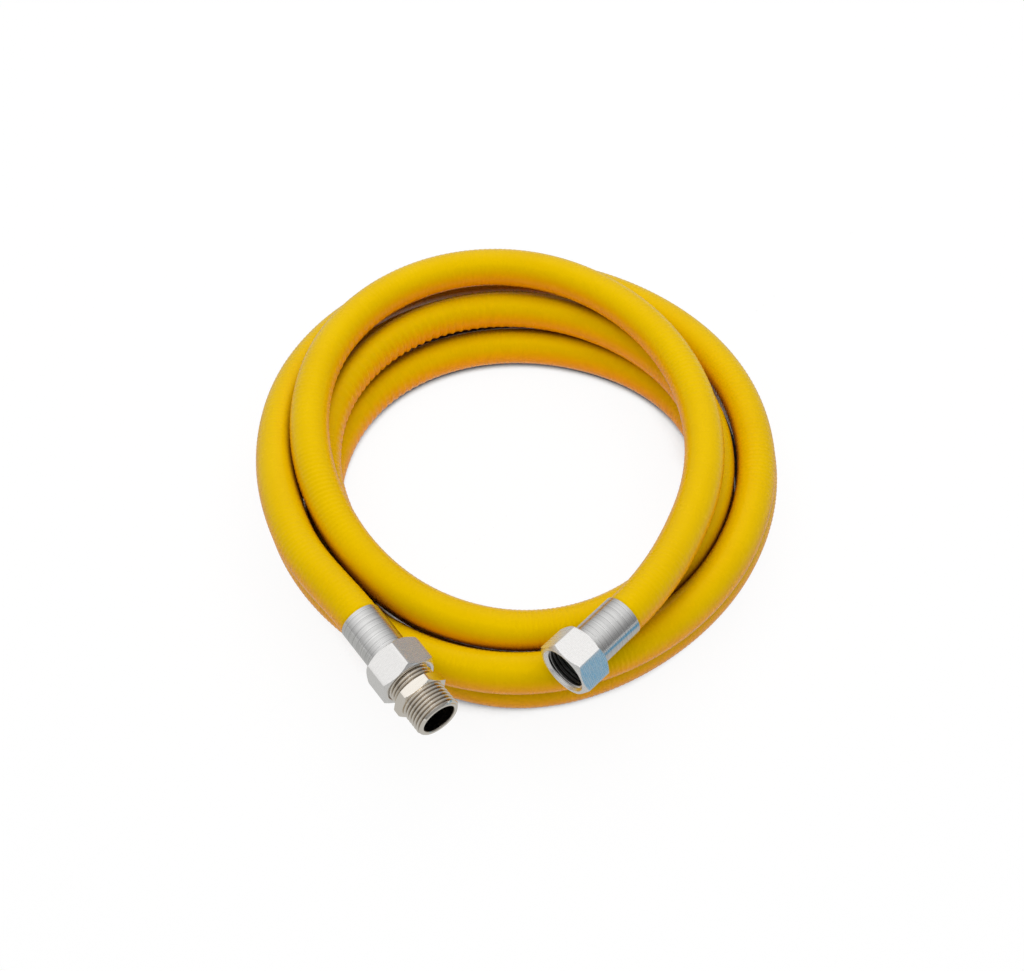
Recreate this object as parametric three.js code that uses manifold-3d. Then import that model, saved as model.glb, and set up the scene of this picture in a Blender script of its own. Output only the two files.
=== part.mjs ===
// Flexible gas hose: corrugated steel tube in a yellow sheath, wound into a flat coil, with a
// swivel nut at each end and a threaded adapter nipple screwed into one of them.
// Millimetres, +Z up. The coil lies on Z = 0 with the middle of its bounding box on the Z axis.
import * as THREE from 'three'
import { mergeVertices } from 'three/addons/utils/BufferGeometryUtils.js'
import Module from 'manifold-3d'

const wasm = await Module()
wasm.setup()

// Running or seating clearance between two neighbouring pieces
const CLEARANCE = 0.3
// How far a cutting tool runs past the faces that it cuts
const BEYOND = 1

// Hose
const SHEATH_OUTER_RADIUS = 9.5
const SHEATH_BORE_RADIUS = 8.5
const SHEATH_SIDES = 12
const TUBE_CREST_RADIUS = 7.9
const TUBE_BORE_RADIUS = 6
const TUBE_SIDES = 8
const SHEATH_GRIP = 13 // length of sheath squeezed under a ferrule
const TUBE_PAST_SHEATH = 1 // bare tube that stands out of the sheath

// Winding: radius and height of the hose's centreline at each clock hour seen from above,
// starting at 7 o'clock. One row holds one lap.
const COIL_CENTRE = new THREE.Vector2(-3.7, 9.3)
const FIRST_HOUR = 7
const LAP_RADII = [
  [125, 115, 114, 119, 122, 121.5, 120, 120, 118, 117, 119, 122],
  [117, 113.5, 114, 120, 126, 130, 131, 128, 122, 116, 114.5, 120],
  [110, 101, 93.5, 91, 88, 86.5, 90, 100, 102, 97.6, 93.6, 95],
  [92.5, 92, 94, 96, 97.5, 96.5, 95, 97.2, 98.6, 97.9, 100, 101.5],
  [99.5, 95, 97, 105, 110.5, 108.5, 98.5, 91, 89.5, 94, 104.5]
]
const LAP_HEIGHTS = [
  [47, 45, 39.5, 33, 29.5, 27, 26.5, 28, 30, 30.5, 29.5, 29],
  [28.5, 24.5, 17.5, 12, 9.5, 9.5, 9.5, 9.5, 10, 10.5, 10.5, 9.5],
  [9.5, 9.5, 9.5, 10, 10, 9.5, 9.5, 9.5, 9.5, 9.5, 10.5, 14],
  [20.5, 27, 30, 30.5, 29.5, 28, 28, 29, 29.5, 29, 29, 32],
  [38.5, 46, 49.5, 50, 49, 48, 48, 48, 48.5, 49, 49.5]
]
const COIL_START_HOUR = 8
const COIL_END_HOUR = 64
const STATIONS_PER_LAP = 18
const BLEND_STATIONS = 2 // stations between the coil and each ferrule

// The two ends: middle of each ferrule's mouth, heading of its axis, and the roll of its hexagons
const MALE_END = { mouth: new THREE.Vector3(-71.3, -94.5, 46.5), heading: -53.2, nutRoll: 26.6 }
const FEMALE_END = { mouth: new THREE.Vector3(43.6, -96.4, 54), heading: -134.3, nutRoll: -3.5 }
const NIPPLE_ROLL = 11.9

// Ferrule
const FERRULE_LENGTH = 23
const FERRULE_OUTER_RADIUS = 9.9
const FERRULE_WALL = 0.6
const FERRULE_END_WALL = 1.2
const FERRULE_EDGE = 0.3

// Tail stub welded to the corrugated tube, with the collar that holds the nut
const TAIL_RADIUS = 7.6
const TAIL_BORE_RADIUS = 6
const COLLAR_RADIUS = 9
const COLLAR_THICKNESS = 2

// Flat gasket
const GASKET_THICKNESS = 1.8
const GASKET_BORE_RADIUS = 6.3

// G 1/2 thread, drawn smooth at its largest diameter
const THREAD_RADIUS = 10.48
const THREAD_DEPTH = 1.16

// Swivel nut
const NUT_ACROSS_FLATS = 25
const NUT_LENGTH = 15
const NUT_BACK_WALL = 2.2
const NUT_FRONT_CHAMFER = 1.4
const NUT_BACK_CHAMFER = 1.4
const NUT_MOUTH_CHAMFER = 0.35

// Adapter nipple
const NIPPLE_BORE_RADIUS = 7.75
const NIPPLE_BORE_CHAMFER = 0.5
const NIPPLE_NECK = 4.9 // thread seen between the nut and the nipple's hexagon
const NIPPLE_HEX_ACROSS_FLATS = 22
const NIPPLE_HEX_WIDTH = 5
const NIPPLE_HEX_CHAMFER = 0.7
const NIPPLE_FREE_THREAD = 12

const ROUND_SEGMENTS = 36

// Distances along an end's axis, from the ferrule's mouth outwards
const AT_SHEATH_END = SHEATH_GRIP
const AT_TUBE_END = AT_SHEATH_END + TUBE_PAST_SHEATH
const AT_TAIL_START = AT_TUBE_END + CLEARANCE
const AT_NUT_BACK = FERRULE_LENGTH + CLEARANCE
const AT_NUT_FRONT = AT_NUT_BACK + NUT_LENGTH
const AT_COLLAR = AT_NUT_BACK + NUT_BACK_WALL + CLEARANCE
const AT_TAIL_END = AT_COLLAR + COLLAR_THICKNESS
const AT_GASKET = AT_TAIL_END + CLEARANCE
const AT_NIPPLE_START = AT_GASKET + GASKET_THICKNESS + CLEARANCE
const AT_NIPPLE_HEX = AT_NUT_FRONT + NIPPLE_NECK
const AT_FREE_THREAD = AT_NIPPLE_HEX + NIPPLE_HEX_WIDTH
const AT_NIPPLE_END = AT_FREE_THREAD + NIPPLE_FREE_THREAD

const FINISHES = {
  yellowSheath: { color: 0xe2ac04, roughness: 0.42, metalness: 0 },
  stainlessTube: { color: 0xb9babb, roughness: 0.35, metalness: 1 },
  turnedSteel: { color: 0xc9c9c7, roughness: 0.32, metalness: 1 },
  plainSteel: { color: 0xb4b4b2, roughness: 0.38, metalness: 1 },
  satinNut: { color: 0xcdccc8, roughness: 0.3, metalness: 1 },
  nickelPlate: { color: 0xc3bcae, roughness: 0.22, metalness: 1 },
  fibreGasket: { color: 0x3f6a4a, roughness: 0.8, metalness: 0 }
}

function namedMesh(name, geometry, finish) {
  const mesh = new THREE.Mesh(geometry, new THREE.MeshStandardMaterial(FINISHES[finish]))
  mesh.name = name
  return mesh
}

function toSolid(geometry) {
  const bare = geometry.clone()
  bare.deleteAttribute('normal')
  bare.deleteAttribute('uv')
  const merged = mergeVertices(bare)
  const vertProperties = new Float32Array(merged.attributes.position.array)
  const triVerts = new Uint32Array(merged.index.array)
  return new wasm.Manifold(new wasm.Mesh({ numProp: 3, vertProperties, triVerts }))
}

function toGeometry(solid) {
  const { vertProperties, triVerts } = solid.getMesh()
  const geometry = new THREE.BufferGeometry()
  geometry.setAttribute('position', new THREE.BufferAttribute(vertProperties, 3))
  geometry.setIndex(new THREE.BufferAttribute(triVerts, 1))
  geometry.computeVertexNormals()
  return geometry
}

// A turned piece about +Z from a closed outline of [radius, distance] points, given anticlockwise
function turned(outline) {
  const points = [...outline, outline[0]].map(([radius, along]) => new THREE.Vector2(radius, along))
  return new THREE.LatheGeometry(points, ROUND_SEGMENTS).rotateX(Math.PI / 2)
}

function turnedRing(inner, outer, from, to) {
  return turned([[inner, from], [outer, from], [outer, to], [inner, to]])
}

// A hexagonal prism along +Z with one flat facing +Y, its corners turned off at both ends
function chamferedHexagon(acrossFlats, from, to, backChamfer, frontChamfer) {
  const flat = acrossFlats / 2
  const corner = flat / Math.cos(Math.PI / 6)
  const outline = new THREE.Shape(regularPolygon(corner, 6, 0))
  const prism = new THREE.ExtrudeGeometry(outline, { depth: to - from, bevelEnabled: false })
  prism.translate(0, 0, from)
  const bluntCone = turned([
    [0, from],
    [flat, from],
    [corner, from + backChamfer],
    [corner, to - frontChamfer],
    [flat, to],
    [0, to]
  ])
  return toSolid(prism).intersect(toSolid(bluntCone))
}

function regularPolygon(radius, sides, startAngle) {
  return Array.from({ length: sides }, (_, i) => {
    const angle = startAngle + (2 * Math.PI * i) / sides
    return new THREE.Vector2(radius * Math.cos(angle), radius * Math.sin(angle))
  })
}

// Uniform cubic B-spline through a list of values, read at a clock hour
function valueAtHour(values, hour) {
  const span = Math.min(Math.floor(hour) - FIRST_HOUR, values.length - 3)
  const t = hour - FIRST_HOUR - span
  const weights = [
    (1 - t) ** 3,
    3 * t ** 3 - 6 * t ** 2 + 4,
    -3 * t ** 3 + 3 * t ** 2 + 3 * t + 1,
    t ** 3
  ]
  return weights.reduce((sum, weight, k) => sum + (weight * values[span - 1 + k]) / 6, 0)
}

function coilPoint(hour) {
  const angle = (hour * Math.PI) / 6
  const radius = valueAtHour(LAP_RADII.flat(), hour)
  return new THREE.Vector3(
    COIL_CENTRE.x + radius * Math.sin(angle),
    COIL_CENTRE.y + radius * Math.cos(angle),
    valueAtHour(LAP_HEIGHTS.flat(), hour)
  )
}

function coilDirection(hour) {
  const step = 0.01
  return coilPoint(hour + step).sub(coilPoint(hour)).normalize()
}

function axisOf(end) {
  const heading = THREE.MathUtils.degToRad(end.heading)
  return new THREE.Vector3(Math.cos(heading), Math.sin(heading), 0)
}

// Cubic Hermite bend from one point and direction to another
function bendPoint(from, fromDirection, to, toDirection, t) {
  const reach = from.distanceTo(to)
  return new THREE.Vector3()
    .addScaledVector(from, 2 * t ** 3 - 3 * t ** 2 + 1)
    .addScaledVector(fromDirection, reach * (t ** 3 - 2 * t ** 2 + t))
    .addScaledVector(to, 3 * t ** 2 - 2 * t ** 3)
    .addScaledVector(toDirection, reach * (t ** 3 - t ** 2))
}

// Points of the hose's centreline from the male end to the female end
function hoseStations(grip) {
  const maleAxis = axisOf(MALE_END)
  const femaleAxis = axisOf(FEMALE_END)
  const bendSteps = Array.from({ length: BLEND_STATIONS }, (_, i) => (i + 1) / (BLEND_STATIONS + 1))
  const start = coilPoint(COIL_START_HOUR)
  const finish = coilPoint(COIL_END_HOUR)
  const laps = (COIL_END_HOUR - COIL_START_HOUR) / 12
  const coilSteps = laps * STATIONS_PER_LAP
  return [
    MALE_END.mouth.clone().addScaledVector(maleAxis, grip),
    MALE_END.mouth,
    ...bendSteps.map((t) =>
      bendPoint(MALE_END.mouth, maleAxis.clone().negate(), start, coilDirection(COIL_START_HOUR), t)
    ),
    ...Array.from({ length: coilSteps + 1 }, (_, i) =>
      coilPoint(COIL_START_HOUR + (12 * i) / STATIONS_PER_LAP)
    ),
    ...bendSteps.map((t) =>
      bendPoint(finish, coilDirection(COIL_END_HOUR), FEMALE_END.mouth, femaleAxis, t)
    ),
    FEMALE_END.mouth,
    FEMALE_END.mouth.clone().addScaledVector(femaleAxis, grip)
  ]
}

// A path that is read exactly at its stations, so that neighbouring laps have their facets in step
class StationPath extends THREE.Curve {
  constructor(stations) {
    super()
    this.stations = stations
  }

  get steps() {
    return this.stations.length - 1
  }

  getPoint(t) {
    const place = t * this.steps
    const index = Math.min(Math.round(place), this.steps)
    return this.stations[index].clone()
  }

  getPointAt(t) {
    return this.getPoint(t)
  }

  getTangentAt(t) {
    const index = Math.round(t * this.steps)
    const before = this.stations[Math.max(index - 1, 0)]
    const after = this.stations[Math.min(index + 1, this.steps)]
    return after.clone().sub(before).normalize()
  }
}

function tubeAlong(stations, outerRadius, boreRadius, sides) {
  const section = new THREE.Shape(regularPolygon(outerRadius, sides, Math.PI / sides))
  section.holes.push(new THREE.Path(regularPolygon(boreRadius, sides, Math.PI / sides)))
  const extrudePath = new StationPath(stations)
  return new THREE.ExtrudeGeometry(section, { extrudePath, steps: extrudePath.steps, bevelEnabled: false })
}

// Turns and moves a piece from an end's own axes (+Z out of the mouth, +Y up) to its place
function endMatrix(end) {
  const axis = axisOf(end)
  const up = new THREE.Vector3(0, 0, 1)
  const across = up.clone().cross(axis)
  return new THREE.Matrix4().makeBasis(across, up, axis).setPosition(end.mouth)
}

function makeSheath() {
  const squeezedRadius = FERRULE_OUTER_RADIUS - FERRULE_WALL - CLEARANCE
  const whole = tubeAlong(
    hoseStations(AT_SHEATH_END),
    SHEATH_OUTER_RADIUS,
    SHEATH_BORE_RADIUS,
    SHEATH_SIDES
  )
  const squeeze = (end) =>
    toSolid(
      turnedRing(
        squeezedRadius,
        FERRULE_OUTER_RADIUS + BEYOND,
        -CLEARANCE,
        AT_SHEATH_END + BEYOND
      ).applyMatrix4(endMatrix(end))
    )
  return toGeometry(toSolid(whole).subtract(squeeze(MALE_END)).subtract(squeeze(FEMALE_END)))
}

function makeTube() {
  return tubeAlong(hoseStations(AT_TUBE_END), TUBE_CREST_RADIUS, TUBE_BORE_RADIUS, TUBE_SIDES)
}

function makeFerrule() {
  const bore = FERRULE_OUTER_RADIUS - FERRULE_WALL
  return turned([
    [bore, 0],
    [FERRULE_OUTER_RADIUS - FERRULE_EDGE, 0],
    [FERRULE_OUTER_RADIUS, FERRULE_EDGE],
    [FERRULE_OUTER_RADIUS, FERRULE_LENGTH - FERRULE_EDGE],
    [FERRULE_OUTER_RADIUS - FERRULE_EDGE, FERRULE_LENGTH],
    [TAIL_RADIUS + CLEARANCE, FERRULE_LENGTH],
    [TAIL_RADIUS + CLEARANCE, FERRULE_LENGTH - FERRULE_END_WALL],
    [bore, FERRULE_LENGTH - FERRULE_END_WALL]
  ])
}

function makeTail() {
  return turned([
    [TAIL_BORE_RADIUS, AT_TAIL_START],
    [TAIL_RADIUS, AT_TAIL_START],
    [TAIL_RADIUS, AT_COLLAR],
    [COLLAR_RADIUS, AT_COLLAR],
    [COLLAR_RADIUS, AT_TAIL_END],
    [TAIL_BORE_RADIUS, AT_TAIL_END]
  ])
}

function makeGasket() {
  return turnedRing(GASKET_BORE_RADIUS, COLLAR_RADIUS, AT_GASKET, AT_GASKET + GASKET_THICKNESS)
}

function makeSwivelNut() {
  const bore = THREAD_RADIUS + CLEARANCE
  const hollow = turned([
    [0, AT_NUT_BACK - BEYOND],
    [TAIL_RADIUS + CLEARANCE, AT_NUT_BACK - BEYOND],
    [TAIL_RADIUS + CLEARANCE, AT_NUT_BACK + NUT_BACK_WALL],
    [bore, AT_NUT_BACK + NUT_BACK_WALL],
    [bore, AT_NUT_FRONT - NUT_MOUTH_CHAMFER],
    [bore + NUT_MOUTH_CHAMFER, AT_NUT_FRONT],
    [bore + NUT_MOUTH_CHAMFER, AT_NUT_FRONT + BEYOND],
    [0, AT_NUT_FRONT + BEYOND]
  ])
  const hexagon = chamferedHexagon(
    NUT_ACROSS_FLATS,
    AT_NUT_BACK,
    AT_NUT_FRONT,
    NUT_BACK_CHAMFER,
    NUT_FRONT_CHAMFER
  )
  return toGeometry(hexagon.subtract(toSolid(hollow)))
}

function makeNipple() {
  const chamferRadius = THREAD_RADIUS - THREAD_DEPTH
  const lip = NIPPLE_BORE_RADIUS + NIPPLE_BORE_CHAMFER
  const hexagon = chamferedHexagon(
    NIPPLE_HEX_ACROSS_FLATS,
    AT_NIPPLE_HEX,
    AT_FREE_THREAD,
    NIPPLE_HEX_CHAMFER,
    NIPPLE_HEX_CHAMFER
  )
  const threadedRod = turned([
    [0, AT_NIPPLE_START],
    [chamferRadius, AT_NIPPLE_START],
    [THREAD_RADIUS, AT_NIPPLE_START + THREAD_DEPTH],
    [THREAD_RADIUS, AT_NIPPLE_END - THREAD_DEPTH],
    [chamferRadius, AT_NIPPLE_END],
    [0, AT_NIPPLE_END]
  ])
  const bore = turned([
    [0, AT_NIPPLE_START - BEYOND],
    [lip, AT_NIPPLE_START - BEYOND],
    [lip, AT_NIPPLE_START],
    [NIPPLE_BORE_RADIUS, AT_NIPPLE_START + NIPPLE_BORE_CHAMFER],
    [NIPPLE_BORE_RADIUS, AT_NIPPLE_END - NIPPLE_BORE_CHAMFER],
    [lip, AT_NIPPLE_END],
    [lip, AT_NIPPLE_END + BEYOND],
    [0, AT_NIPPLE_END + BEYOND]
  ])
  return toGeometry(hexagon.add(toSolid(threadedRod)).subtract(toSolid(bore)))
}

function rolled(mesh, degrees) {
  mesh.rotation.z = THREE.MathUtils.degToRad(degrees)
  return mesh
}

// The pieces that both ends have, placed on one end's axis
function makeEnd(end, label) {
  const group = new THREE.Group()
  group.applyMatrix4(endMatrix(end))
  group.add(namedMesh(`ferrule_${label}`, makeFerrule(), 'turnedSteel'))
  group.add(namedMesh(`tail_${label}`, makeTail(), 'plainSteel'))
  group.add(namedMesh(`gasket_${label}`, makeGasket(), 'fibreGasket'))
  group.add(rolled(namedMesh(`swivel_nut_${label}`, makeSwivelNut(), 'satinNut'), end.nutRoll))
  return group
}

const hose = new THREE.Group()
hose.add(namedMesh('hose_sheath', makeSheath(), 'yellowSheath'))
hose.add(namedMesh('corrugated_tube', makeTube(), 'stainlessTube'))

const maleEnd = makeEnd(MALE_END, 'male_end')
maleEnd.add(rolled(namedMesh('adapter_nipple', makeNipple(), 'nickelPlate'), NIPPLE_ROLL))
const femaleEnd = makeEnd(FEMALE_END, 'female_end')

const gasHose = new THREE.Group()
gasHose.add(hose, maleEnd, femaleEnd)

export default gasHose
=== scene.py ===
"""Flexible gas hose: a corrugated steel tube in a yellow sheath, wound into a flat coil, with a swivel nut
at each end and a threaded nipple in one of them. Metres, +Z up; the sections follow the hose from its
sheath inwards, then outwards along the fittings at its two ends."""
import math

import bpy
import numpy as np
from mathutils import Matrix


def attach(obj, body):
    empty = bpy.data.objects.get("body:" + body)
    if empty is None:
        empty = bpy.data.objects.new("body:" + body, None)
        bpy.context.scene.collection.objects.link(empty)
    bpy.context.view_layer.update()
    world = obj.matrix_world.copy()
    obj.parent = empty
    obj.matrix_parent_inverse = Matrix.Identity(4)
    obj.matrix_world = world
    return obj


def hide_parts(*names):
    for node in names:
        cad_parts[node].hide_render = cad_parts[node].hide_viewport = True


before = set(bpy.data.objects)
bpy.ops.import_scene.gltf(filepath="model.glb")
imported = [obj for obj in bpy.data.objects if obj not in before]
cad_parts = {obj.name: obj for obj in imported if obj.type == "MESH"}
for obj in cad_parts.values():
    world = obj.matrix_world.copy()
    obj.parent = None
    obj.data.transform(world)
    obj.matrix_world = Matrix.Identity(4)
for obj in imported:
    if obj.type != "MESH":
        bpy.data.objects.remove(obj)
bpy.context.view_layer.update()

# Camera
# It stands in front of the two fittings and looks down at the coil, as in the photograph.
CAMERA_PLACE = (-0.0047, -0.4295, 0.6184)
LOOK_DOWN = math.radians(54.5)
LENS_MM = 52.73

camera = bpy.data.objects.new("camera", bpy.data.cameras.new("camera"))
bpy.context.scene.collection.objects.link(camera)
camera.location = CAMERA_PLACE
camera.rotation_euler = (math.pi / 2 - LOOK_DOWN, 0, 0)
camera.data.lens = LENS_MM
camera.data.sensor_width = 36
bpy.context.scene.camera = camera

# Hose sheath
# One extruded sleeve of soft yellow PVC, drawn tight over the corrugated tube, so that the corrugations
# show through it as fine hoops. It wrinkles on the inner side of some bends, and its two ends are
# squeezed under the ferrules. The hose is wound clockwise from the male end, in nearly five laps.
SHEATH_RADIUS = 0.0095
SHEATH_BORE = 0.0085
SQUEEZED_RADIUS = 0.009
SHEATH_GRIP = 0.013
SHOULDER = 0.0016
SHEATH_COLUMNS = 17
CORRUGATION_PITCH = 0.0024
RINGS_PER_CORRUGATION = 4
RIPPLE_DEPTH = 0.00022
# Mean of the ripple's uneven depth, and the share, radians per metre and phase of its slow waves
SWELL_MEAN = 0.55
SWELL_WAVES = [(0.25, 41, 0.0), (0.2, 97, 1.3)]
BORE_RING_SPACING = 0.012
WRINKLE_LENGTH = 2 * CORRUGATION_PITCH
FAINT_WRINKLE = 0.00004
# Sines of the angle from straight up at which the wrinkles begin and are full
INNER_SIDE = (0.25, 0.95)
# How near another lap has to be for the painted shade that darkens the sheath in the slit between them
NEAR_LAP = 0.014
# Clock hour counted along the coil, reach in hours and depth of each wrinkled stretch
WRINKLED_STRETCHES = [(34.3, 0.7, 0.0005), (46.6, 1.1, 0.0013), (58.1, 0.6, 0.0004)]

# Radius and height of the centreline at each clock hour seen from above, from 7 o'clock, a lap a row
COIL_CENTRE = np.array([-0.0037, 0.0093])
FIRST_HOUR = 7
LAP_RADII = np.array([
    0.125, 0.115, 0.114, 0.119, 0.122, 0.1215, 0.12, 0.12, 0.118, 0.117, 0.119, 0.122,
    0.117, 0.1135, 0.114, 0.12, 0.126, 0.13, 0.131, 0.128, 0.122, 0.116, 0.1145, 0.12,
    0.11, 0.101, 0.0935, 0.091, 0.088, 0.0865, 0.09, 0.1, 0.102, 0.0976, 0.0936, 0.095,
    0.0925, 0.092, 0.094, 0.096, 0.0975, 0.0965, 0.095, 0.0972, 0.0986, 0.0979, 0.1, 0.1015,
    0.0995, 0.095, 0.097, 0.105, 0.1105, 0.1085, 0.0985, 0.091, 0.0895, 0.094, 0.1045,
])
LAP_HEIGHTS = np.array([
    0.047, 0.045, 0.0395, 0.033, 0.0295, 0.027, 0.0265, 0.028, 0.03, 0.0305, 0.0295, 0.029,
    0.0285, 0.0245, 0.0175, 0.012, 0.0095, 0.0095, 0.0095, 0.0095, 0.01, 0.0105, 0.0105, 0.0095,
    0.0095, 0.0095, 0.0095, 0.01, 0.01, 0.0095, 0.0095, 0.0095, 0.0095, 0.0095, 0.0105, 0.014,
    0.0205, 0.027, 0.03, 0.0305, 0.0295, 0.028, 0.028, 0.029, 0.0295, 0.029, 0.029, 0.032,
    0.0385, 0.046, 0.0495, 0.05, 0.049, 0.048, 0.048, 0.048, 0.0485, 0.049, 0.0495,
])
COIL_START_HOUR = 8
COIL_END_HOUR = 64
POINTS_PER_HOUR = 180
POINTS_PER_BEND = 200

# Middle of each ferrule's mouth, and the direction in which the fitting points
MALE_MOUTH = np.array([-0.0713, -0.0945, 0.0465])
MALE_HEADING = math.radians(-53.2)
FEMALE_MOUTH = np.array([0.0436, -0.0964, 0.054])
FEMALE_HEADING = math.radians(-134.3)
UP = np.array([0.0, 0.0, 1.0])


def axis_of(heading):
    """Level unit vector (cos h, sin h, 0)."""
    return np.array([math.cos(heading), math.sin(heading), 0.0])


def value_at_hour(values, hour):
    """Uniform cubic B-spline: with t the share of the hour gone, four neighbours are mixed with the
    weights (1-t)^3, 3t^3-6t^2+4, -3t^3+3t^2+3t+1 and t^3, all over 6."""
    span = np.minimum(np.floor(hour).astype(int) - FIRST_HOUR, len(values) - 3)
    t = hour - FIRST_HOUR - span
    weights = [(1 - t) ** 3, 3 * t ** 3 - 6 * t ** 2 + 4, -3 * t ** 3 + 3 * t ** 2 + 3 * t + 1, t ** 3]
    return sum(weight * values[span - 1 + k] for k, weight in enumerate(weights)) / 6


def coil_points(hour):
    """Centre plus radius times (sin a, cos a) at the clock angle a of 30 degrees an hour, and height."""
    angle = np.radians(30 * hour)
    radius = value_at_hour(LAP_RADII, hour)
    x = COIL_CENTRE[0] + radius * np.sin(angle)
    y = COIL_CENTRE[1] + radius * np.cos(angle)
    return np.stack([x, y, value_at_hour(LAP_HEIGHTS, hour)], axis=-1)


def coil_direction(hour):
    """Unit chord of the coil over a hundredth of an hour."""
    chord = np.diff(coil_points(np.array([hour, hour + 0.01])), axis=0)[0]
    return chord / np.linalg.norm(chord)


def bend_points(start, start_direction, end, end_direction, t):
    """Cubic Hermite curve from start to end, with tangents as long as the two points are apart."""
    reach = np.linalg.norm(end - start)
    t = t[:, None]
    places = (2 * t ** 3 - 3 * t ** 2 + 1) * start + (3 * t ** 2 - 2 * t ** 3) * end
    start_pull = (t ** 3 - 2 * t ** 2 + t) * reach * start_direction
    end_pull = (t ** 3 - t ** 2) * reach * end_direction
    return places + start_pull + end_pull


def hose_line(grip):
    """Centreline from `grip` inside the male ferrule to `grip` inside the female one: its points, their
    distance along it and the coil's clock hour at each."""
    male_axis = axis_of(MALE_HEADING)
    female_axis = axis_of(FEMALE_HEADING)
    point_count = (COIL_END_HOUR - COIL_START_HOUR) * POINTS_PER_HOUR
    hours = np.linspace(COIL_START_HOUR, COIL_END_HOUR, point_count)
    coil = coil_points(hours)
    t = np.linspace(0, 1, POINTS_PER_BEND)
    way_in = bend_points(MALE_MOUTH, -male_axis, coil[0], coil_direction(COIL_START_HOUR), t)
    way_out = bend_points(coil[-1], coil_direction(COIL_END_HOUR), FEMALE_MOUTH, female_axis, t)
    first = MALE_MOUTH + grip * male_axis
    last = FEMALE_MOUTH + grip * female_axis
    points = np.vstack([first, way_in, coil[1:-1], way_out, last])
    at_start = np.full(POINTS_PER_BEND + 1, COIL_START_HOUR)
    at_end = np.full(POINTS_PER_BEND + 1, COIL_END_HOUR)
    clock = np.concatenate([at_start, hours[1:-1], at_end])
    steps = np.linalg.norm(np.diff(points, axis=0), axis=1)
    return points, np.concatenate([[0.0], np.cumsum(steps)]), clock


def rings_on(line, places):
    """Centres at distances `places` along a line, with two unit vectors square to it: one as near
    straight up as can be, and the other, the tangent crossed with it, towards the coil's middle."""
    points, distance, _ = line
    centres = np.stack([np.interp(places, distance, points[:, k]) for k in range(3)], axis=-1)
    step = CORRUGATION_PITCH / 2
    ahead = np.stack([np.interp(places + step, distance, points[:, k]) for k in range(3)], axis=-1)
    behind = np.stack([np.interp(places - step, distance, points[:, k]) for k in range(3)], axis=-1)
    tangent = ahead - behind
    tangent /= np.linalg.norm(tangent, axis=1)[:, None]
    upward = UP - tangent * tangent[:, 2:3]
    upward /= np.linalg.norm(upward, axis=1)[:, None]
    return centres, upward, np.cross(tangent, upward)


def tube_surface(line, places, angle, radius):
    """Centre + radius (cos a * upward + sin a * inward), at each place along and angle a round."""
    centres, upward, inward = rings_on(line, places)
    cosine = np.cos(angle)[None, :, None]
    sine = np.sin(angle)[None, :, None]
    around = cosine * upward[:, None] + sine * inward[:, None]
    return centres[:, None] + radius[..., None] * around


def closed_skin(name, points, along, around):
    """Object over a grid of points (rows, columns, 3) that closes on itself both ways. Face (i, j) joins
    (i, j), (i, j+1), (i+1, j+1) and (i+1, j), and faces along columns x rows. Its UV corners, in metres,
    are read from `along` and `around`, which are one longer than the rows and columns."""
    rows, columns = points.shape[:2]
    i, j = np.meshgrid(np.arange(rows), np.arange(columns), indexing="ij")
    next_i = (i + 1) % rows
    next_j = (j + 1) % columns
    corners = [i * columns + j, i * columns + next_j, next_i * columns + next_j, next_i * columns + j]
    faces = np.stack(corners, axis=-1).reshape(-1, 4)
    mesh = bpy.data.meshes.new(name)
    mesh.vertices.add(rows * columns)
    mesh.vertices.foreach_set("co", points.astype(np.float32).ravel())
    mesh.loops.add(faces.size)
    mesh.loops.foreach_set("vertex_index", faces.ravel().astype(np.int32))
    mesh.polygons.add(len(faces))
    mesh.polygons.foreach_set("loop_start", np.arange(0, faces.size, 4, dtype=np.int32))
    mesh.update(calc_edges=True)
    u = np.stack([along[i], along[i], along[i + 1], along[i + 1]], axis=-1)
    v = np.stack([around[j], around[j + 1], around[j + 1], around[j]], axis=-1)
    surface = mesh.uv_layers.new(name="surface")
    surface.data.foreach_set("uv", np.stack([u, v], axis=-1).astype(np.float32).ravel())
    made = bpy.data.objects.new(name, mesh)
    bpy.context.scene.collection.objects.link(made)
    return made


def smooth_step(value, low, high):
    """0 below `low`, 1 above `high` and 3t^2 - 2t^3 between them."""
    t = np.clip((value - low) / (high - low), 0, 1)
    return t * t * (3 - 2 * t)


def sheath_radius(places, length, hours, angle):
    """Outer radius: full radius, less a cosine ripple of the corrugation pitch, less wrinkles
    d (1 - |sin|) on the side towards the coil's middle, drawn in to the squeezed radius in each ferrule."""
    swell = SWELL_MEAN + sum(share * np.sin(places * rate + phase) for share, rate, phase in SWELL_WAVES)
    ripple = RIPPLE_DEPTH * swell * (1 - np.cos(2 * math.pi * places / CORRUGATION_PITCH)) / 2
    depth = sum(d * np.exp(-((hours - hour) / reach) ** 2) for hour, reach, d in WRINKLED_STRETCHES)
    crease = (depth + FAINT_WRINKLE) * (1 - np.abs(np.sin(math.pi * places / WRINKLE_LENGTH)))
    inner_side = smooth_step(np.sin(angle), *INNER_SIDE)
    radius = (SHEATH_RADIUS - ripple)[:, None] - crease[:, None] * inner_side
    from_mouth = np.minimum(places, length - places) - SHEATH_GRIP
    squeeze = 1 - smooth_step(from_mouth, 0.0002, SHOULDER)
    return radius + (SQUEEZED_RADIUS - radius) * squeeze[:, None]


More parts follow.
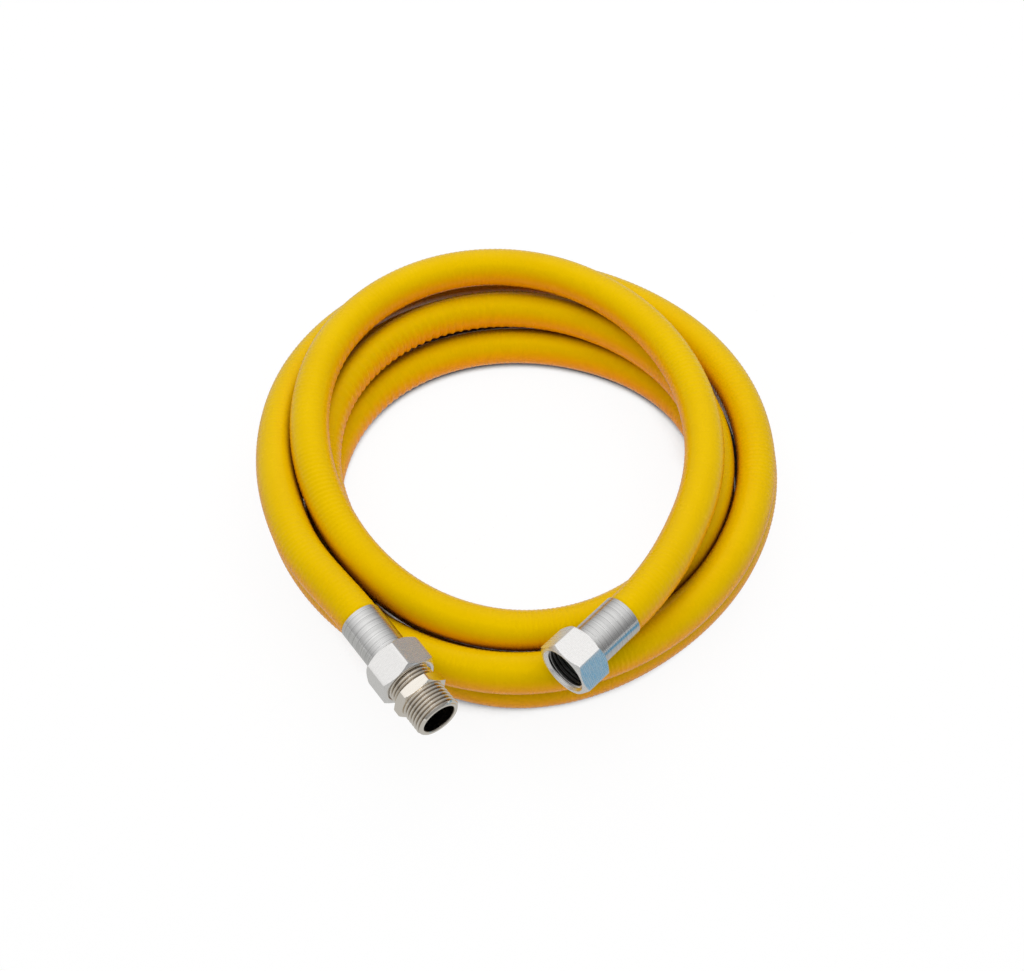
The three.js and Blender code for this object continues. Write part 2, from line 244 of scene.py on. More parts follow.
def make_sheath():
    """The outer surface from end to end, then the bore's surface back, as one closed skin."""
    line = hose_line(SHEATH_GRIP)
    length = line[1][-1]
    count = round(length / CORRUGATION_PITCH) * RINGS_PER_CORRUGATION
    places = np.linspace(0, length, count + 1)
    hours = np.interp(places, line[1], line[2])
    angle = np.linspace(0, 2 * math.pi, SHEATH_COLUMNS + 1)
    outside = tube_surface(line, places, angle[:-1], sheath_radius(places, length, hours, angle[:-1]))
    back = np.linspace(length, 0, round(length / BORE_RING_SPACING) + 1)
    inside = tube_surface(line, back, angle[:-1], np.full((len(back), SHEATH_COLUMNS), SHEATH_BORE))
    along = np.concatenate([places, back, [0.0]])
    sheath = closed_skin("sheath", np.vstack([outside, inside]), along, angle * SHEATH_RADIUS)
    return sheath, rings_on(line, places)[0], length


def node(tree, kind, inputs=None, **settings):
    """A new shader node; a value in `inputs` that is a socket is linked, and any other is set."""
    made = tree.nodes.new("ShaderNode" + kind)
    for name, value in settings.items():
        setattr(made, name, value)
    for name, value in (inputs or {}).items():
        if isinstance(value, bpy.types.NodeSocket):
            tree.links.new(value, made.inputs[name])
        else:
            made.inputs[name].default_value = value
    return made


def new_material(name):
    """An empty material, its node tree and its Principled shader."""
    material = bpy.data.materials.new(name)
    material.use_nodes = True
    return material, material.node_tree, material.node_tree.nodes["Principled BSDF"]


def noise(tree, vector, scale, detail=2.0, roughness=0.5):
    """Fractal noise about 0.5, with `scale` features in a metre."""
    inputs = {"Vector": vector, "Scale": scale, "Detail": detail, "Roughness": roughness}
    return node(tree, "TexNoise", inputs).outputs["Fac"]


def mapped(tree, value, low, high, first=0.0, last=1.0, kind="LINEAR"):
    """Maps low..high onto first..last, straight or by a smooth step."""
    inputs = {"Value": value, "From Min": low, "From Max": high, "To Min": first, "To Max": last}
    return node(tree, "MapRange", inputs, interpolation_type=kind).outputs["Result"]


def spread(tree, value, first, last):
    """Maps a noise value's usual range, 0.3 to 0.7, onto first..last."""
    return mapped(tree, value, 0.3, 0.7, first, last)


def blend_colours(tree, factor, first, second):
    """Mix by a factor of two colours, each a socket or its three numbers."""
    ends = [end if isinstance(end, bpy.types.NodeSocket) else (*end, 1) for end in (first, second)]
    inputs = {"Factor": factor, "A": ends[0], "B": ends[1]}
    return node(tree, "Mix", inputs, data_type="RGBA").outputs["Result"]


def yellow_pvc():
    """Saturated warm yellow with painted shade: deeper and redder on the flanks and underneath, as the
    normal turns away from straight up, and dark brown where ambient occlusion finds another lap close
    against it; slow clouds, semi-gloss, with a faint fine grain."""
    material, tree, shader = new_material("yellow_pvc")
    place = node(tree, "TexCoord").outputs["Object"]
    cloud = spread(tree, noise(tree, place, 28), 0, 1)
    grain = noise(tree, place, 1500, 3)
    patch = noise(tree, place, 160, 3)
    facing = node(tree, "SeparateXYZ", {"Vector": node(tree, "NewGeometry").outputs["Normal"]}).outputs["Z"]
    # Painted shade: the colour turns deeper and redder as the normal turns away from straight up.
    flank = mapped(tree, facing, 0.8, -0.1, kind="SMOOTHSTEP")
    # Painted shade: ambient occlusion turns the colour dark brown in the slits between laps.
    openness = node(tree, "AmbientOcclusion", {"Distance": NEAR_LAP}, samples=6).outputs["AO"]
    painted_slit_shade = mapped(tree, openness, 0.45, 0.1, kind="SMOOTHSTEP")
    colour = blend_colours(tree, cloud, (0.725, 0.465, 0.0), (0.7, 0.435, 0.0))
    colour = blend_colours(tree, flank, colour, (0.89, 0.35, 0.0))
    colour = blend_colours(tree, painted_slit_shade, colour, (0.22, 0.06, 0.004))
    tree.links.new(colour, shader.inputs["Base Color"])
    tree.links.new(spread(tree, patch, 0.22, 0.31), shader.inputs["Roughness"])
    bump = node(tree, "Bump", {"Height": grain, "Strength": 0.1, "Distance": 0.00004})
    tree.links.new(bump.outputs["Normal"], shader.inputs["Normal"])
    shader.inputs["Specular IOR Level"].default_value = 0.35
    shader.inputs["Specular Tint"].default_value = (1.0, 0.72, 0.0, 1)
    return material


sheath, sheath_line, sheath_length = make_sheath()
sheath.data.materials.append(yellow_pvc())
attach(sheath, "hose")
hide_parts("hose_sheath")

# Corrugated tube
# A bellows of thin stainless strip, welded along and rolled into rings, that holds the gas. It fills the
# sheath from one tail to the other, and stands a millimetre out of it inside each ferrule.
TUBE_CREST = 0.0079
TUBE_ROOT = 0.0064
TUBE_WALL = 0.0003
TUBE_GRIP = 0.014
TUBE_COLUMNS = 12
RINGS_PER_FOLD = 2


def make_tube():
    """Radius root + (crest - root)(1 + cos)/2 along the tube, on the wall's outside and back inside."""
    line = hose_line(TUBE_GRIP)
    length = line[1][-1]
    count = round(length / CORRUGATION_PITCH) * RINGS_PER_FOLD
    places = np.linspace(0, length, count + 1)
    wave = (1 + np.cos(math.pi * np.arange(count + 1))) / 2
    radius = TUBE_ROOT + (TUBE_CREST - TUBE_ROOT) * wave
    angle = np.linspace(0, 2 * math.pi, TUBE_COLUMNS + 1)
    wide = np.repeat(radius[:, None], TUBE_COLUMNS, axis=1)
    outside = tube_surface(line, places, angle[:-1], wide)
    inside = tube_surface(line, places, angle[:-1], wide - TUBE_WALL)[::-1]
    along = np.concatenate([places, places[::-1], [0.0]])
    return closed_skin("bellows_tube", np.vstack([outside, inside]), along, angle * TUBE_CREST)


def stainless_strip():
    """Bright rolled strip, a little uneven in gloss."""
    material, tree, shader = new_material("stainless_strip")
    place = node(tree, "TexCoord").outputs["Object"]
    tree.links.new(spread(tree, noise(tree, place, 900), 0.25, 0.38), shader.inputs["Roughness"])
    shader.inputs["Base Color"].default_value = (0.6, 0.6, 0.59, 1)
    shader.inputs["Metallic"].default_value = 1
    return material


tube = make_tube()
tube.data.materials.append(stainless_strip())
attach(tube, "hose")
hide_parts("corrugated_tube")

# Ferrules
# A turned aluminium sleeve at each end, pushed over the sheath and crimped, with fine lathe lines round it
# and a thin end wall that the tail comes out of.
FERRULE_RADIUS = 0.0099
FERRULE_BORE = 0.0093
FERRULE_LENGTH = 0.023
FERRULE_END_WALL = 0.0012
TAIL_HOLE = 0.0079
# Turned rings round the sleeve, and the painted shade that darkens the bottom of each
RING_PLACES = [0.0019, 0.0052, 0.0084, 0.0113, 0.0149, 0.0181, 0.0207]
RING_WIDTH = 0.0003
RING_DEPTH = 0.00003
RING_PAINTED_SHADE = 0.5
RING_FREE_END = 0.001
ROUND_COLUMNS = 120
EDGE = 0.00015
CORNER_STEPS = 4
SHARP_ANGLE = math.radians(25)
ENDS = {"male": (MALE_MOUTH, MALE_HEADING), "female": (FEMALE_MOUTH, FEMALE_HEADING)}


def outline(corners, edge=EDGE):
    """Closed outline of radii and distances through corners (radius, distance, longest step to the next).
    Each corner is a quadratic curve between points `edge` away from it on its two sides."""
    count = len(corners)
    places = np.array([corner[:2] for corner in corners])
    rows = []
    for k, (_, _, step) in enumerate(corners):
        before = places[k - 1] - places[k]
        after = places[(k + 1) % count] - places[k]
        cut_before = before * min(edge / np.linalg.norm(before), 0.4)
        cut_after = after * min(edge / np.linalg.norm(after), 0.4)
        t = np.linspace(0, 1, CORNER_STEPS + 1)[:, None]
        rows.append(places[k] + (1 - t) ** 2 * cut_before + t ** 2 * cut_after)
        start = places[k] + cut_after
        end = places[(k + 1) % count] - after * min(edge / np.linalg.norm(after), 0.4)
        steps = max(1, math.ceil(np.linalg.norm(end - start) / step))
        rows.append(start + (end - start) * (np.arange(1, steps) / steps)[:, None])
    made = np.vstack(rows)
    return made[:, 0], made[:, 1]


def turned_body(name, end, corners, columns=ROUND_COLUMNS, roll=0.0, form=None, soft=None, painted_shade=None):
    """An outline carried once round an end's axis: mouth + R (cos a * across + sin a * up) + distance * axis,
    where across = up x axis. R is the outline's radius, or form(radius, distance, a). Rows where
    soft(radius, distance) holds keep soft edges; others are creased above SHARP_ANGLE. The last argument,
    a function of R and distance, fills an attribute of its own name with painted shade, from 0 on bare metal
    to 1 in a dark groove."""
    mouth, heading = ENDS[end]
    axis = axis_of(heading)
    across = np.cross(UP, axis)
    radius, distance = outline(corners)
    angle = roll + np.linspace(0, 2 * math.pi, columns + 1)
    radius_grid = np.repeat(radius[:, None], columns, axis=1)
    if form:
        radius_grid = form(radius[:, None], distance[:, None], angle[None, :-1])
    around = np.cos(angle[:-1])[:, None] * across + np.sin(angle[:-1])[:, None] * UP
    points = mouth + radius_grid[..., None] * around + distance[:, None, None] * axis
    steps = np.hypot(np.diff(radius, append=radius[0]), np.diff(distance, append=distance[0]))
    along = np.concatenate([[0.0], np.cumsum(steps)])
    body = closed_skin(name, points, along, angle * FERRULE_RADIUS)
    crease(body.data, columns, None if soft is None else soft(radius, distance))
    if painted_shade:
        share = np.broadcast_to(painted_shade(radius_grid, distance[:, None]), radius_grid.shape).astype(np.float32)
        body.data.attributes.new("painted_shade", "FLOAT", "POINT").data.foreach_set("value", share.ravel())
    return body


def crease(mesh, columns, soft_rows):
    """Sharp edges where faces meet at more than SHARP_ANGLE, apart from edges within soft rows."""
    mesh.set_sharp_from_angle(angle=SHARP_ANGLE)
    if soft_rows is None:
        return
    ends = np.zeros(len(mesh.edges) * 2, np.int32)
    mesh.edges.foreach_get("vertices", ends)
    sharp = np.zeros(len(mesh.edges), bool)
    mesh.edges.foreach_get("use_edge_sharp", sharp)
    within = soft_rows[ends.reshape(-1, 2) // columns].all(axis=1)
    mesh.edges.foreach_set("use_edge_sharp", sharp & ~within)


def darken_grooves(tree, colour, groove_colour):
    """The colour of bare metal, turned towards a dark groove colour by the painted-shade attribute that
    turned_body fills.
    """
    share = node(tree, "Attribute", attribute_name="painted_shade").outputs["Fac"]
    return blend_colours(tree, share, colour, groove_colour)


def lathe_metal(name, colour, gloss, line_depth):
    """Metal with lathe lines: one-dimensional noise of the distance along the outline, in two widths,
    moves the bump and the roughness; the wider one also moves the tone a little."""
    material, tree, shader = new_material(name)
    surface = node(tree, "UVMap", uv_map="surface").outputs["UV"]
    lines = node(tree, "Mapping", {"Vector": surface, "Scale": (1, 0.012, 1)}).outputs["Vector"]
    fine = noise(tree, lines, 6500, 2)
    wide = noise(tree, lines, 1400, 2)
    both = node(tree, "Math", {0: fine, 1: wide}, operation="ADD").outputs["Value"]
    half = node(tree, "Math", {0: both, 1: 0.5}, operation="MULTIPLY").outputs["Value"]
    tree.links.new(spread(tree, half, gloss - 0.06, gloss + 0.1), shader.inputs["Roughness"])
    darker = tuple(0.82 * c for c in colour)
    tone = blend_colours(tree, spread(tree, wide, 0, 1), colour, darker)
    # Painted shade: the turned rings' grooves are darkened towards near-black.
    tree.links.new(darken_grooves(tree, tone, (0.12, 0.12, 0.115)), shader.inputs["Base Color"])
    bump = node(tree, "Bump", {"Height": half, "Strength": 1.0, "Distance": line_depth})
    tree.links.new(bump.outputs["Normal"], shader.inputs["Normal"])
    shader.inputs["Metallic"].default_value = 1
    return material


def ring_corners(middle):
    """A shallow V cut round the sleeve, as corners of its outline."""
    return [
        (FERRULE_RADIUS, middle - RING_WIDTH / 2, 0.0001),
        (FERRULE_RADIUS - RING_DEPTH, middle, 0.0001),
        (FERRULE_RADIUS, middle + RING_WIDTH / 2, 0.0006),
    ]


def painted_shade_in_ring(radius, distance):
    """Painted shade on the bottom of each ring's V, away from the sleeve's two ends."""
    in_ring = (radius < FERRULE_RADIUS - RING_DEPTH / 2) & (radius > FERRULE_BORE + 0.0003)
    between = (distance > RING_FREE_END) & (distance < FERRULE_LENGTH - RING_FREE_END)
    return np.where(in_ring & between, RING_PAINTED_SHADE, 0.0)


turned_aluminium = lathe_metal("turned_aluminium", (0.74, 0.735, 0.725), 0.2, 0.000014)
for end in ENDS:
    ferrule = turned_body(f"ferrule_sleeve_{end}", end, [
        (FERRULE_RADIUS, 0, 0.0006),
        *(corner for middle in RING_PLACES for corner in ring_corners(middle)),
        (FERRULE_RADIUS, FERRULE_LENGTH, 0.0004),
        (TAIL_HOLE, FERRULE_LENGTH, 0.0004),
        (TAIL_HOLE, FERRULE_LENGTH - FERRULE_END_WALL, 0.0004),
        (FERRULE_BORE, FERRULE_LENGTH - FERRULE_END_WALL, 0.001),
        (FERRULE_BORE, 0, 0.0004),
    ], painted_shade=painted_shade_in_ring)
    ferrule.data.materials.append(turned_aluminium)
    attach(ferrule, "hose")
    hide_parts(f"ferrule_{end}_end")

# Tails
# A turned steel stub welded to each end of the corrugated tube. It comes out of the ferrule, passes
# through the nut's back wall and ends in the collar that the nut bears on.
TAIL_START = 0.0143
TAIL_RADIUS = 0.0076
TAIL_BORE = 0.006
COLLAR_START = 0.0258
COLLAR_END = 0.0278
COLLAR_RADIUS = 0.009

plain_steel = lathe_metal("plain_steel", (0.5, 0.5, 0.49), 0.34, 0.000008)
for end in ENDS:
    tail = turned_body(f"tail_stub_{end}", end, [
        (TAIL_RADIUS, TAIL_START, 0.001),
        (TAIL_RADIUS, COLLAR_START, 0.0005),
        (COLLAR_RADIUS, COLLAR_START, 0.0005),
        (COLLAR_RADIUS, COLLAR_END, 0.0005),
        (TAIL_BORE, COLLAR_END, 0.001),
        (TAIL_BORE, TAIL_START, 0.0005),
    ])
    tail.data.materials.append(plain_steel)
    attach(tail, "hose")
    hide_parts(f"tail_{end}_end")

# Gaskets
# A flat ring of pressed green fibre lies against each collar and seals when the nut is drawn up.
GASKET_START = 0.0281
GASKET_END = 0.0299
GASKET_BORE = 0.0063


def pressed_fibre():
    """Matt green fibre with a mottled, slightly rough face."""
    material, tree, shader = new_material("pressed_fibre")
    place = node(tree, "TexCoord").outputs["Object"]
    fleck = noise(tree, place, 2600, 4)
    green = blend_colours(tree, spread(tree, fleck, 0, 1), (0.02, 0.07, 0.035), (0.045, 0.12, 0.06))
    tree.links.new(green, shader.inputs["Base Color"])
    bump = node(tree, "Bump", {"Height": fleck, "Strength": 0.5, "Distance": 0.00005})
    tree.links.new(bump.outputs["Normal"], shader.inputs["Normal"])
    shader.inputs["Roughness"].default_value = 0.8
    return material


green_fibre = pressed_fibre()
for end in ENDS:
    gasket = turned_body(f"flat_gasket_{end}", end, [
        (COLLAR_RADIUS, GASKET_START, 0.0006),
        (COLLAR_RADIUS, GASKET_END, 0.0006),
        (GASKET_BORE, GASKET_END, 0.0006),
        (GASKET_BORE, GASKET_START, 0.0006),
    ])
    gasket.data.materials.append(green_fibre)
    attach(gasket, "hose")
    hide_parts(f"gasket_{end}_end")

# Swivel nuts
# A hexagon nut, 25 mm across flats, turned and milled from plated steel bar and loose on each tail. Its
# corners are turned off to a cone at both ends. Behind a bright chamfer it has a G 1/2 thread inside.
NUT_BACK = 0.0233
NUT_FRONT = 0.0383
NUT_BACK_WALL = 0.0022
NUT_FLAT = 0.0125
NUT_CORNER = 0.01437
NUT_CHAMFER = 0.0014
NUT_MOUTH = 0.0112
NUT_RELIEF = 0.0012
NUT_ROLL = {"male": math.radians(26.6), "female": math.radians(-3.5)}
HEX_COLUMNS = 144
THREAD_PITCH = 0.001814
THREAD_MIDDLE = 0.0098965
THREAD_HALF_DEPTH = 0.00058
THREAD_CLEARANCE = 0.00006
THREAD_STEP = THREAD_PITCH / 20
# Strength of the painted highlight on the thread's flanks inside the nut, and the depth at which it lies
PAINTED_FLANK_HIGHLIGHT = 0.85
FLANK_PLACE = 0.0005
FLANK_WIDTH = 0.00018


def hexagon_radius(flat, roll, angle):
    """Half across flats over cos(d), where d is the angle from the middle of the nearest flat."""
    sixth = math.pi / 3
    from_flat = np.mod(angle - roll - math.pi / 2 + sixth / 2, sixth) - sixth / 2
    return flat / np.cos(from_flat)


def thread_radius(distance, angle):
    """Right-handed thread: middle radius + half the depth * w, with w = t (1.5 - 0.5 t^2) a rounded
    triangle wave t of the phase distance / pitch - angle / turn."""
    phase = np.mod(distance / THREAD_PITCH - angle / (2 * math.pi), 1)
    t = 1 - 4 * np.abs(phase - 0.5)
    return THREAD_MIDDLE + THREAD_HALF_DEPTH * t * (1.5 - 0.5 * t * t)


def make_nut(end):
    """Outside cut to a hexagon; the bore is the larger of its turned outline and the thread. Inside it the
    metal is painted dark as shade, apart from a painted highlight: a Gaussian of the radius round the
    middle of the thread's flanks."""
    thread_start = NUT_BACK + NUT_BACK_WALL + NUT_RELIEF
    minor = THREAD_MIDDLE - THREAD_HALF_DEPTH + THREAD_CLEARANCE
    groove = THREAD_MIDDLE + THREAD_HALF_DEPTH + THREAD_CLEARANCE
    roll = NUT_ROLL[end]
    thread_front = NUT_FRONT - (NUT_MOUTH - minor)

    def in_thread(radius, distance):
        along = (distance >= thread_start - THREAD_STEP) & (distance < NUT_FRONT - 0.0005)
        return along & (radius < groove + 0.0006)

    # Painted shade inside the bore, broken by a painted highlight along the middle of the thread's flanks.
    def painted_shade(radius, distance):
        flank = np.exp(-((radius - minor - FLANK_PLACE) / FLANK_WIDTH) ** 2)
        inside = (radius < groove + 0.0003) & (distance < thread_front)
        return np.where(inside, 1 - PAINTED_FLANK_HIGHLIGHT * flank, 0.0)

    def form(radius, distance, angle):
        threaded = np.maximum(radius, thread_radius(distance, angle) + THREAD_CLEARANCE)
        cut = np.where(in_thread(radius, distance), threaded, radius)
        return np.minimum(cut, hexagon_radius(NUT_FLAT, roll, angle))

    corners = [
        (NUT_CORNER, NUT_BACK + NUT_CHAMFER, 0.001),
        (NUT_CORNER, NUT_FRONT - NUT_CHAMFER, 0.00012),
        (NUT_FLAT - 0.0002, NUT_FRONT, 0.0004),
        (NUT_MOUTH, NUT_FRONT, THREAD_STEP),
        (minor, thread_front, THREAD_STEP),
        (minor, thread_start, 0.0003),
        (groove, thread_start, 0.0004),
        (groove, NUT_BACK + NUT_BACK_WALL, 0.0005),
        (TAIL_HOLE, NUT_BACK + NUT_BACK_WALL, 0.0005),
        (TAIL_HOLE, NUT_BACK, 0.0005),
        (NUT_FLAT - 0.0002, NUT_BACK, 0.00012),
    ]
    return turned_body(f"hexagon_nut_{end}", end, corners, HEX_COLUMNS, roll, form, in_thread, painted_shade)


def satin_steel():
    """Plated steel with a satin draw: long fine scratches run slantwise over soft mottling."""
    material, tree, shader = new_material("satin_steel")
    surface = node(tree, "UVMap", uv_map="surface").outputs["UV"]
    turn = {"Vector": surface, "Rotation": (0, 0, math.radians(38)), "Scale": (1, 0.05, 1)}
    slanted = node(tree, "Mapping", turn).outputs["Vector"]
    scratch = noise(tree, slanted, 4200, 3)
    place = node(tree, "TexCoord").outputs["Object"]
    mottle = noise(tree, place, 1100, 3)
    tree.links.new(spread(tree, scratch, 0.2, 0.36), shader.inputs["Roughness"])
    tone = blend_colours(tree, spread(tree, mottle, 0, 1), (0.9, 0.885, 0.87), (0.84, 0.83, 0.815))
    # Painted shade: the nut's bore and thread are darkened towards near-black.
    tree.links.new(darken_grooves(tree, tone, (0.05, 0.048, 0.045)), shader.inputs["Base Color"])
    bump = node(tree, "Bump", {"Height": scratch, "Strength": 0.6, "Distance": 0.000006})
    tree.links.new(bump.outputs["Normal"], shader.inputs["Normal"])
    shader.inputs["Metallic"].default_value = 1
    return material


satin_finish = satin_steel()
for end in ENDS:
    nut = make_nut(end)
    nut.data.materials.append(satin_finish)
    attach(nut, f"{end}_end_nut")
    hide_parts(f"swivel_nut_{end}_end")

# Adapter nipple
# Turned from brass hexagon bar and nickel-plated. One threaded end is screwed into the male end's nut, the
# other is free, and the thin hexagon between them takes the spanner.
NIPPLE_START = 0.0302
NIPPLE_HEX_START = 0.0432
NIPPLE_HEX_END = 0.0482
NIPPLE_END = 0.0602
NIPPLE_FLAT = 0.011
NIPPLE_CORNER = 0.01255
NIPPLE_CHAMFER = 0.0007
NIPPLE_BORE = 0.00775
NIPPLE_LIP = 0.0004
NIPPLE_ROLL = math.radians(11.9)
RUN_OUT = 0.0004
PAINTED_GROOVE_SHADE = 0.85
PAINTED_BORE_SHADE = 0.5


def make_nipple():
    """Thread on both sides of the hexagon: there the radius is the smaller of outline and thread. Painted
    shade darkens the metal in the thread's grooves and in the bore."""
    minor = THREAD_MIDDLE - THREAD_HALF_DEPTH
    crest = THREAD_MIDDLE + THREAD_HALF_DEPTH
    point = crest - minor

    def in_thread(radius, distance):
        outside = radius > minor - 0.0002
        back = distance < NIPPLE_HEX_START - 0.0001
        front = distance > NIPPLE_HEX_END + 0.0001
        return outside & (back | front)

    # Painted shade in the thread's grooves and in the bore.
    def painted_shade(radius, distance):
        in_groove = PAINTED_GROOVE_SHADE * (1 - smooth_step(radius, minor, crest - 0.0004))
        at_end = (distance < NIPPLE_START + 0.0004) | (distance > NIPPLE_END - point)
        in_bore = PAINTED_BORE_SHADE * (radius < NIPPLE_BORE + NIPPLE_LIP / 2)
        return np.where(radius > minor - 0.0002, np.where(at_end, 0.0, in_groove), in_bore)

    def form(radius, distance, angle):
        threaded = np.minimum(radius, thread_radius(distance, angle))
        cut = np.where(in_thread(radius, distance), threaded, radius)
        return np.minimum(cut, hexagon_radius(NIPPLE_FLAT, NIPPLE_ROLL, angle))

    corners = [
        (minor, NIPPLE_START, THREAD_STEP),
        (crest, NIPPLE_START + point, THREAD_STEP),
        (crest, NIPPLE_HEX_START - RUN_OUT, THREAD_STEP),
        (THREAD_MIDDLE, NIPPLE_HEX_START, 0.0005),
        (NIPPLE_FLAT - 0.0001, NIPPLE_HEX_START, 0.00012),
        (NIPPLE_CORNER, NIPPLE_HEX_START + NIPPLE_CHAMFER, 0.001),
        (NIPPLE_CORNER, NIPPLE_HEX_END - NIPPLE_CHAMFER, 0.00012),
        (NIPPLE_FLAT - 0.0001, NIPPLE_HEX_END, 0.0005),
        (THREAD_MIDDLE, NIPPLE_HEX_END, THREAD_STEP),
        (crest, NIPPLE_HEX_END + RUN_OUT, THREAD_STEP),
        (crest, NIPPLE_END - point, THREAD_STEP),
        (minor, NIPPLE_END, 0.0003),
        (NIPPLE_BORE + NIPPLE_LIP, NIPPLE_END, 0.0002),
        (NIPPLE_BORE, NIPPLE_END - NIPPLE_LIP, 0.0008),
        (NIPPLE_BORE, NIPPLE_START + NIPPLE_LIP, 0.0002),
        (NIPPLE_BORE + NIPPLE_LIP, NIPPLE_START, 0.0003),
    ]
    return turned_body("threaded_nipple", "male", corners, HEX_COLUMNS, NIPPLE_ROLL, form, in_thread, painted_shade)


def nickel_plate():
    """Bright, warm nickel with faint tool marks along the outline."""
    material, tree, shader = new_material("bright_nickel")
    surface = node(tree, "UVMap", uv_map="surface").outputs["UV"]
    lines = node(tree, "Mapping", {"Vector": surface, "Scale": (1, 0.02, 1)}).outputs["Vector"]
    marks = noise(tree, lines, 5200, 2)
    tree.links.new(spread(tree, marks, 0.1, 0.18), shader.inputs["Roughness"])
    bump = node(tree, "Bump", {"Height": marks, "Strength": 0.5, "Distance": 0.000004})
    tree.links.new(bump.outputs["Normal"], shader.inputs["Normal"])
    tone = blend_colours(tree, spread(tree, marks, 0, 1), (0.86, 0.81, 0.74), (0.79, 0.74, 0.66))
    # Painted shade: the thread's grooves and the bore turn dark brown.
    tree.links.new(darken_grooves(tree, tone, (0.2, 0.15, 0.1)), shader.inputs["Base Color"])
    shader.inputs["Metallic"].default_value = 1
    return material


nipple = make_nipple()
nipple.data.materials.append(nickel_plate())
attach(nipple, "nipple")
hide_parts("adapter_nipple")

# Floor
# A wide white sheet that the coil lies on.
FLOOR_HALF = 6.0
FLOOR_HEIGHT = -0.0002
PLAIN_WHITE_SHARE = 0.93
GAP_REACH = 0.06

floor = bpy.data.objects.new("floor", bpy.data.meshes.new("floor"))
quarters = ((-1, -1), (1, -1), (1, 1), (-1, 1))
floor_corners = [(x * FLOOR_HALF, y * FLOOR_HALF, FLOOR_HEIGHT) for x, y in quarters]
floor.data.from_pydata(floor_corners, [], [(0, 1, 2, 3)])
bpy.context.scene.collection.objects.link(floor)


def white_paper():
    """Matt white. Camera, glossy and transmission rays see most of it as plain white, so that the
    object's shadow is as faint as on a lit table. In the deep gaps between two laps, found by ambient
    occlusion, it loses that white and its colour falls to dark grey: painted shade."""
    material, tree, shader = new_material("white_paper")
    shader.inputs["Roughness"].default_value = 1
    shader.inputs["Specular IOR Level"].default_value = 0
    rays = node(tree, "LightPath").outputs
    seen = node(tree, "Math", {0: rays["Is Camera Ray"], 1: rays["Is Glossy Ray"]}, operation="MAXIMUM")
    seen = node(tree, "Math", {0: seen.outputs[0], 1: rays["Is Transmission Ray"]}, operation="MAXIMUM")
    openness = node(tree, "AmbientOcclusion", {"Distance": GAP_REACH}, samples=16).outputs["AO"]
    openness = mapped(tree, openness, 0.22, 0.38)
    # Painted shade: where ambient occlusion finds the deep gaps between laps, the floor turns dark grey.
    colour = blend_colours(tree, openness, (0.1, 0.1, 0.1), (0.95, 0.95, 0.95))
    tree.links.new(colour, shader.inputs["Base Color"])
    white = node(tree, "Math", {0: openness, 1: PLAIN_WHITE_SHARE}, operation="MULTIPLY")
    share = node(tree, "Math", {0: seen.outputs[0], 1: white.outputs[0]}, operation="MULTIPLY")
    glow = node(tree, "Emission", {"Color": (1, 1, 1, 1), "Strength": 1.0})
    mixed = node(tree, "MixShader", {"Fac": share.outputs[0]})
    tree.links.new(shader.outputs[0], mixed.inputs[1])
    tree.links.new(glow.outputs[0], mixed.inputs[2])
    tree.links.new(mixed.outputs[0], tree.nodes["Material Output"].inputs["Surface"])
    return material


floor.data.materials.append(white_paper())

# Studio light
# A long soft box hangs over the coil in a pale room. What the metal and the sheath reflect is a plain
# studio of its own: bright overhead, darker towards the horizon, with three cards round the table.
SOFT_BOX_SIZE = (1.2, 1.8)
SOFT_BOX_PLACE = (0.0, 0.3, 1.0)
SOFT_BOX_POWER = 12.0
ROOM_LEVEL = 0.45
BRIGHTEST_DIRECTION = (-0.25, 0.15, 0.957)
BRIGHTEST_LEVEL = 1.12
# Share of the brightest level at each cosine of the angle from the brightest direction
REFLECTED_LEVELS = [(-0.2, 0.2), (0.2, 0.33), (0.5, 0.56), (0.8, 0.8), (1.0, 1.0)]
# West, east, south and north edges, height and colour of the cards, which only reflections show
CARDS = {
    "grey_card": (-1.0, 1.0, -1.0, 1.0, 0.0001, (0.56, 0.56, 0.55)),
    "blue_card": (0.15, 0.3, -0.4, 0.0, 0.0002, (0.075, 0.33, 0.54)),
    "strip_card": (-0.3, 0.3, -0.32, -0.12, 1.0, (3.0, 3.0, 3.0)),
}

soft_box = bpy.data.objects.new("soft_box", bpy.data.lights.new("soft_box", "AREA"))
bpy.context.scene.collection.objects.link(soft_box)
soft_box.location = SOFT_BOX_PLACE
soft_box.data.shape = "RECTANGLE"
soft_box.data.size = SOFT_BOX_SIZE[0]
soft_box.data.size_y = SOFT_BOX_SIZE[1]
soft_box.data.energy = SOFT_BOX_POWER
soft_box.visible_camera = False
soft_box.visible_glossy = False


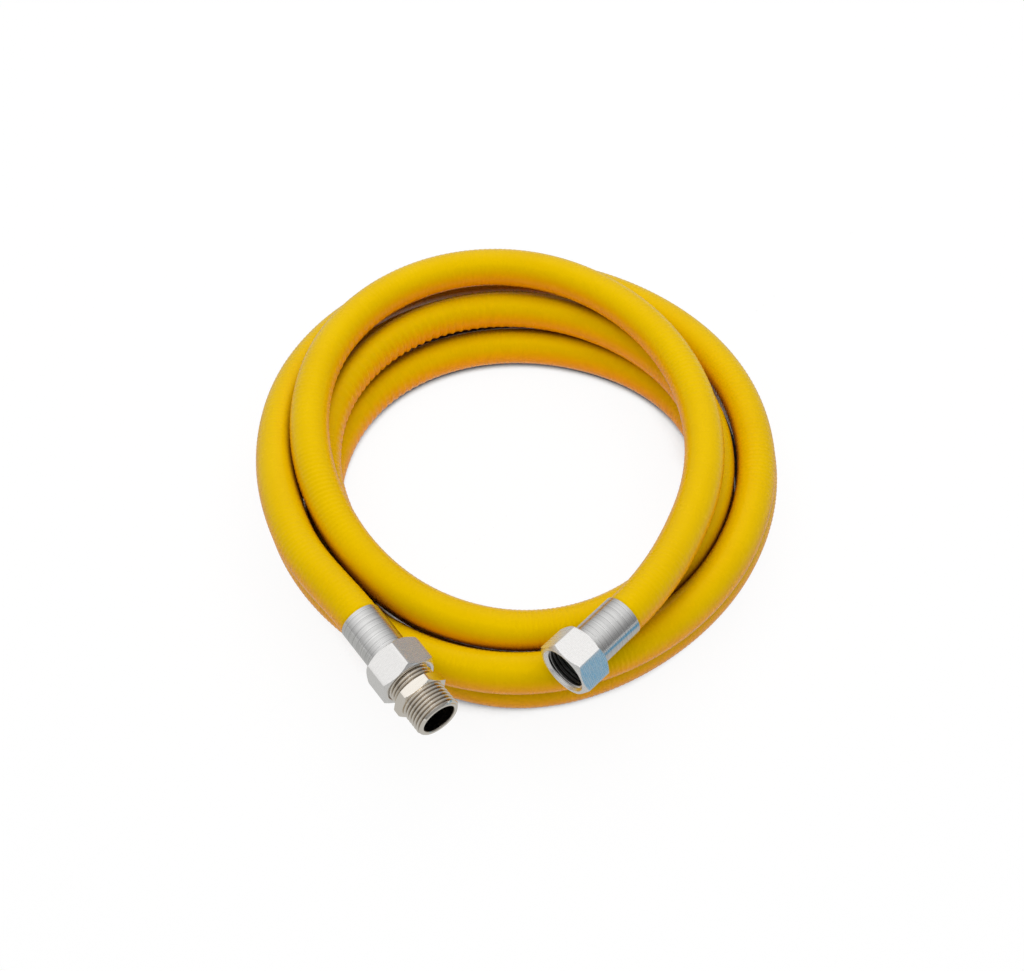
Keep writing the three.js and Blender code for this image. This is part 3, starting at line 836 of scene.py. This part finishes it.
def make_card(name, west, east, south, north, height, colour):
    """A flat card that glows in one colour and is seen in reflections alone."""
    card = bpy.data.objects.new(name, bpy.data.meshes.new(name))
    corners = [(west, south, height), (east, south, height), (east, north, height), (west, north, height)]
    card.data.from_pydata(corners, [], [(0, 1, 2, 3)])
    bpy.context.scene.collection.objects.link(card)
    material, tree, shader = new_material(name)
    glow = node(tree, "Emission", {"Color": (*colour, 1), "Strength": 1.0})
    tree.links.new(glow.outputs[0], tree.nodes["Material Output"].inputs["Surface"])
    card.data.materials.append(material)
    card.visible_camera = False
    card.visible_diffuse = False
    card.visible_shadow = False
    card.visible_transmission = False


for name, card_values in CARDS.items():
    make_card(name, *card_values)


def studio_world():
    """Plain grey for the light that falls on things, and for reflections a level that rises with the cosine
    of the angle from the brightest direction."""
    world = bpy.data.worlds.new("studio")
    world.use_nodes = True
    tree = world.node_tree
    direction = node(tree, "TexCoord").outputs["Generated"]
    towards = node(tree, "VectorMath", {0: direction, 1: BRIGHTEST_DIRECTION}, operation="DOT_PRODUCT")
    level = node(tree, "ValToRGB", {"Fac": mapped(tree, towards.outputs["Value"], -1, 1)})
    stops = level.color_ramp.elements
    for _ in REFLECTED_LEVELS[2:]:
        stops.new(0.5)
    for stop, (cosine, share) in zip(stops, REFLECTED_LEVELS):
        stop.position = (cosine + 1) / 2
        stop.color = (share, share, share, 1)
    plain = tree.nodes["Background"]
    plain.inputs["Color"].default_value = (ROOM_LEVEL, ROOM_LEVEL, ROOM_LEVEL, 1)
    reflected = node(tree, "Background", {"Color": level.outputs["Color"], "Strength": BRIGHTEST_LEVEL})
    glossy = node(tree, "LightPath").outputs["Is Glossy Ray"]
    mixed = node(tree, "MixShader", {"Fac": glossy})
    tree.links.new(plain.outputs[0], mixed.inputs[1])
    tree.links.new(reflected.outputs[0], mixed.inputs[2])
    tree.links.new(mixed.outputs[0], tree.nodes["World Output"].inputs["Surface"])
    return world


bpy.context.scene.world = studio_world()
bpy.context.scene.view_settings.view_transform = "Standard"
